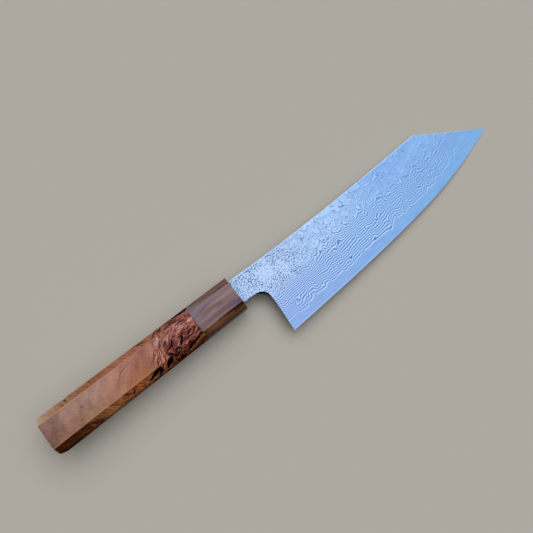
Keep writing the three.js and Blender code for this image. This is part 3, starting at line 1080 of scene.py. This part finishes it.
def growth_rings(place, flat, x, y, cloud):
    """Coats of colour for the rings about a branch, with one clear arch, and for the branch's heart."""
    reach = distance(flat, RING_CENTRE) + swing(place, 9, 1.5)
    rings = smooth(wave(reach, RING_STEP), 0.16, 0) * smooth(reach, *RINGS_REACH) * span(cloud, 0, 0.8)
    arch = smooth(abs(reach - RING_REACH), 0.6, 0.1) * smooth(y, *ARCH_SIDE)
    arch *= smooth(x, *ARCH_REACH, 0.1, 0.7)
    heart = smooth(reach, *HEART_REACH) * 0.5
    return (most(rings, arch), tone(108, 66, 56)), (heart, tone(156, 96, 62))


def plain_wood(place, flat, x, y, above, below):
    """The part towards the butt: cross bands, growth rings and diagonal sides in tones of their own that
    carry painted light and shade.
    """
    wander = x + swing(place, 8, 8)
    bands = noise(turned(place, 58), (16, 5, 20), detail=1, swirl=0.4)
    wavy = place + join(swing(place, 6, 1.6), 0, 0)
    grain = noise(turned(wavy, -42), (5, 0.6, 9), detail=3)
    cloud = noise(place, 4, detail=4, rough=0.6)
    fan = noise(turned(place, -36), (7, 1.3, 3), swirl=0.5)
    value = bands * 0.45 + cloud * 0.27 + grain * 0.28
    colour = scaled(along_handle(wander, FLAT_TONES), shift(value, 0.36, 0.64, 0.69, 1.30))
    colour = tint(colour, smooth(y, *COOL_SIDE), COOL_WOOD)
    upper = scaled(along_handle(wander, UPPER_TONES), shift(grain, 0.32, 0.68, 0.60, 1.36))
    lower = scaled(along_handle(wander, LOWER_TONES), shift(fan, 0.32, 0.68, 0.36, 1.46))
    return paint(colour, *growth_rings(place, flat, x, y, cloud), (above, upper), (below, lower))


def burl_figure(place, x, y, above, below):
    """The part towards the ferrule: strokes that slant, then turn along the handle, in red browns.
    Returns the colour and the strokes."""
    bent = place + join(swing(place, 5, 3), swing(place + (0, 40, 0), 5, 3), 0)
    slanted = noise(turned(bent, 52), (5, 0.58, 2.2), detail=3, rough=0.6)
    along = noise(turned(bent, 4), (4.5, 0.66, 1.6), detail=3, rough=0.6)
    turn = smooth(x + swing(place, 4, 4), *ALONG_START)
    gloom = smooth(y + swing(place, 5, 5), *GLOOM_SIDE) * smooth(x, *GLOOM_START)
    value = slanted * (1 - turn) + along * turn
    value += gloom * -0.038 + smooth(x, *PALE_REACH) * 0.04 + smooth(y, *PALE_SIDE) * 0.015
    colour = shade(
        value,
        (0.33, tone(26, 5, 5)),
        (0.41, tone(92, 33, 27)),
        (0.48, tone(133, 73, 58)),
        (0.56, tone(158, 104, 86)),
        (0.68, tone(194, 143, 123)),
    )
    # The diagonal sides get ramps of their own, with painted light and shade
    upper = shade(value, (0.38, tone(28, 8, 8)), (0.47, tone(102, 55, 48)), (0.60, tone(170, 110, 86)))
    lower = shade(value, (0.34, tone(20, 6, 3)), (0.46, tone(90, 44, 24)), (0.62, tone(168, 106, 64)))
    plum = smooth(noise(place, (3, 1.8, 3), detail=3), 0.50, 0.64) * smooth(y, *PLUM_SIDE, 0.35, 0.65)
    amber = smooth(noise(place + (0, 0, 30), 4.2), 0.50, 0.66)
    dash = smooth(noise(turned(bent, 44), (2, 0.5, 1), detail=1), 0.60, 0.70)
    dash *= span(gloom, 0.2, 0.8) * smooth(x, *DASH_START)
    colour = tint(colour, smooth(y, *COOL_BURL_SIDE), COOL_BURL)
    colour = tint(mix(plum, colour, tone(84, 38, 56)), amber, AMBER)
    return paint(colour, (above, upper), (below, lower), (dash, tone(30, 8, 12))), value


def end_grain(place, y, z):
    """The cut end of the butt: growth rings about a heart outside the handle, dotted with pores."""
    ring = wave(distance(join(0, y + swing(place, 7, 3), z), BUTT_HEART), BUTT_RING_STEP)
    pores = noise(place, (2, 0.35, 0.35))
    value = ring * 0.35 + pores * 0.6 + noise(place, 5) * 0.5
    return shade(value, (0.40, tone(104, 66, 52)), (0.85, tone(172, 124, 98)))


def burl_wood():
    """Figured wood that turns into dark burl towards the ferrule."""
    s = Shader("burl_wood")
    place = s.place()
    x, y, z = parts(place)
    above, below, ridge = facets(x, y, 0.15)
    drop = past(BURL_TURN, z)
    flat = join(
        x + drop * 0.7 + swing(place, 1.2, 0.8, detail=3),
        y + drop * 0.5 + swing(place + (31, 0, 0), 1.2, 0.8, detail=3),
        0,
    )
    # On the sides the burl's figure is drawn out downwards
    drawn_out = join(x, y, most(z, z * 0.42 + 2.9))
    plain = plain_wood(place, flat, x, y, above, below)
    burl, strokes = burl_figure(drawn_out, x, y, above, below)
    border = x - past(y, -2) * 0.7 + swing(place, 3, 5, detail=3)
    share = smooth(border, *BURL_START)
    ridge_highlight = span(most(smooth(x, *RIDGE_HIGHLIGHT_REACH), smooth(y, *RIDGE_HIGHLIGHT_SIDE)), 0.2, 0.45)

    gap = nearest(flat, KNOTS)
    flow = smooth(wave(gap, 1.5), 0.14, 0) * smooth(gap, 4, 1) * share * 0.5
    vein = smooth(nearest(flat, VEINS), 0.35, -0.2) * 0.85
    colour = paint(
        plain,
        (share, burl),
        # Painted highlight along the ridges between the flat and the diagonal sides
        (ridge * (1 - share) * ridge_highlight, tone(190, 146, 112)),
        (smooth(gap, 2.6, 0) * share * 0.3, tone(82, 36, 40)),
        (most(flow, vein), tone(52, 18, 20)),
        (smooth(gap, 0.3, -0.1), tone(8, 3, 3)),
        (s.facing_ends(), end_grain(place, y, z)),
    )
    pores = noise(turned(place, 35), (1.6, 0.22, 0.5))
    s.bump(pores * 0.5 + strokes, 0.015)
    s.set(Base_Color=colour, Roughness=span(pores, 0.28, 0.46))
    s.set(Specular_IOR_Level=span(below, 0.06, 0))
    return s.material


def dowel_wood():
    """Pale straight-grained hardwood."""
    s = Shader("dowel_wood")
    grain = noise(s.place(), (14, 0.7, 0.7), detail=3)
    s.set(Base_Color=shade(grain, (0.3, tone(190, 160, 118)), (0.7, tone(220, 196, 156))))
    s.set(Roughness=span(grain, 0.6, 0.75))
    s.bump(grain, 0.02)
    return s.material


def bedding_resin():
    """Amber resin with a faint cloud."""
    s = Shader("bedding_resin")
    cloud = noise(s.place(), 3)
    s.set(Base_Color=shade(cloud, (0.3, tone(92, 66, 34)), (0.7, tone(126, 94, 52))))
    s.set(Roughness=span(cloud, 0.25, 0.4))
    return s.material


# Stage
FLOOR_METRES = 6
FLOOR_TONE = tone(172, 168, 160)
BACKDROP_TONE = tone(173, 169.5, 161)

# Light from the near and the far side, from the butt's and the tip's end, and from above
NEAR_LEVEL, FAR_LEVEL = 0.25, 1.02
BUTT_LEVEL, TIP_LEVEL = 0.25, 1.5
TOP_LEVEL = 3.75

# The sky that glossy surfaces mirror
SKY_BY_NECK, SKY_BY_TIP = (0.87, 0.93, 1.32, 1), (0.56, 0.91, 1.27, 1)
SKY_LOW, SKY_FAR = (0.90, 0.88, 0.85, 1), (1.3, 1.4, 1.55, 1)
NEAR_DARK = (0.28, 0.27, 0.26, 1)


def stage_floor():
    """A plain, matt, pale floor under the knife."""
    bpy.ops.mesh.primitive_plane_add(size=FLOOR_METRES)
    floor = bpy.context.object
    floor.name = "floor"
    s = Shader("floor")
    s.set(Base_Color=FLOOR_TONE, Roughness=1, Specular_IOR_Level=0)
    floor.data.materials.append(s.material)


def soft_sky():
    """Soft light, stronger from the spine's side and the tip's end. Glossy surfaces mirror a pale sky
    that is dark on the near side, and the camera sees the floor's own tone behind the floor."""
    world = bpy.data.worlds.new("soft_sky")
    bpy.context.scene.world = world
    # So soft a sky needs no sampling map
    world.cycles.sampling_method = "NONE"
    world.use_nodes = True
    tree = world.node_tree
    tree.nodes.clear()
    ray = tree.nodes.new("ShaderNodeLightPath")
    x, y, z = parts(node("ShaderNodeTexCoord", {}, "Generated", tree))
    level = smooth(y, -0.8, 0.7, NEAR_LEVEL, FAR_LEVEL)
    level *= smooth(x, -0.2, 0.55, BUTT_LEVEL, TIP_LEVEL) * smooth(z, 0.25, 1, 0, TOP_LEVEL)
    sky = paint(
        SKY_BY_NECK,
        (smooth(x, 0.02, 0.5), SKY_BY_TIP),
        (smooth(z, 0.6, 0.1), SKY_LOW),
        (smooth(y, 0.8, 0.95), SKY_FAR),
        (smooth(y, -0.25, -0.75), NEAR_DARK),
    )
    colour = paint(
        join(level, level, level),
        (Value(ray.outputs["Is Glossy Ray"]), sky),
        (Value(ray.outputs["Is Camera Ray"]), BACKDROP_TONE),
    )
    background = node("ShaderNodeBackground", {"Color": colour, "Strength": 1})
    output = tree.nodes.new("ShaderNodeOutputWorld")
    put(output.inputs["Surface"], background)


def photo_camera():
    """The camera as fitted to the photograph."""
    data = bpy.data.cameras.new("camera")
    data.sensor_width = SENSOR
    data.lens = SENSOR * FOCAL_PIXELS / FRAME_PIXELS
    data.clip_start = CLIP_METRES
    camera = bpy.data.objects.new("camera", data)
    bpy.context.scene.collection.objects.link(camera)
    back = -CAMERA_VIEW.normalized()
    right = (CAMERA_RIGHT - CAMERA_RIGHT.project(back)).normalized()
    axes = Matrix((right, back.cross(right), back)).transposed().to_4x4()
    camera.matrix_world = POSE @ Matrix.Translation(CAMERA_PLACE * MM) @ axes
    bpy.context.scene.camera = camera


# Assembly

steel = blade_steel()
core_skin().build("blade_core", steel, "core_steel", "core_steel")
cladding_skin().build("damascus_right", steel, "right_cladding", "damascus_cladding")
cladding_skin().build("damascus_left", steel, "left_cladding", "damascus_cladding", mirror=True)
ferrule_skin().build("ferrule", buffalo_horn(), "horn_ferrule", "buffalo_horn")
handle_skin().build("handle", burl_wood(), "handle_body", "burl_wood")
for name, material in (("tang_dowel", dowel_wood()), ("tang_resin", bedding_resin())):
    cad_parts[name].data.materials.clear()
    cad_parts[name].data.materials.append(material)

stage_floor()
soft_sky()
photo_camera()
bpy.context.scene.view_settings.view_transform = "Standard"
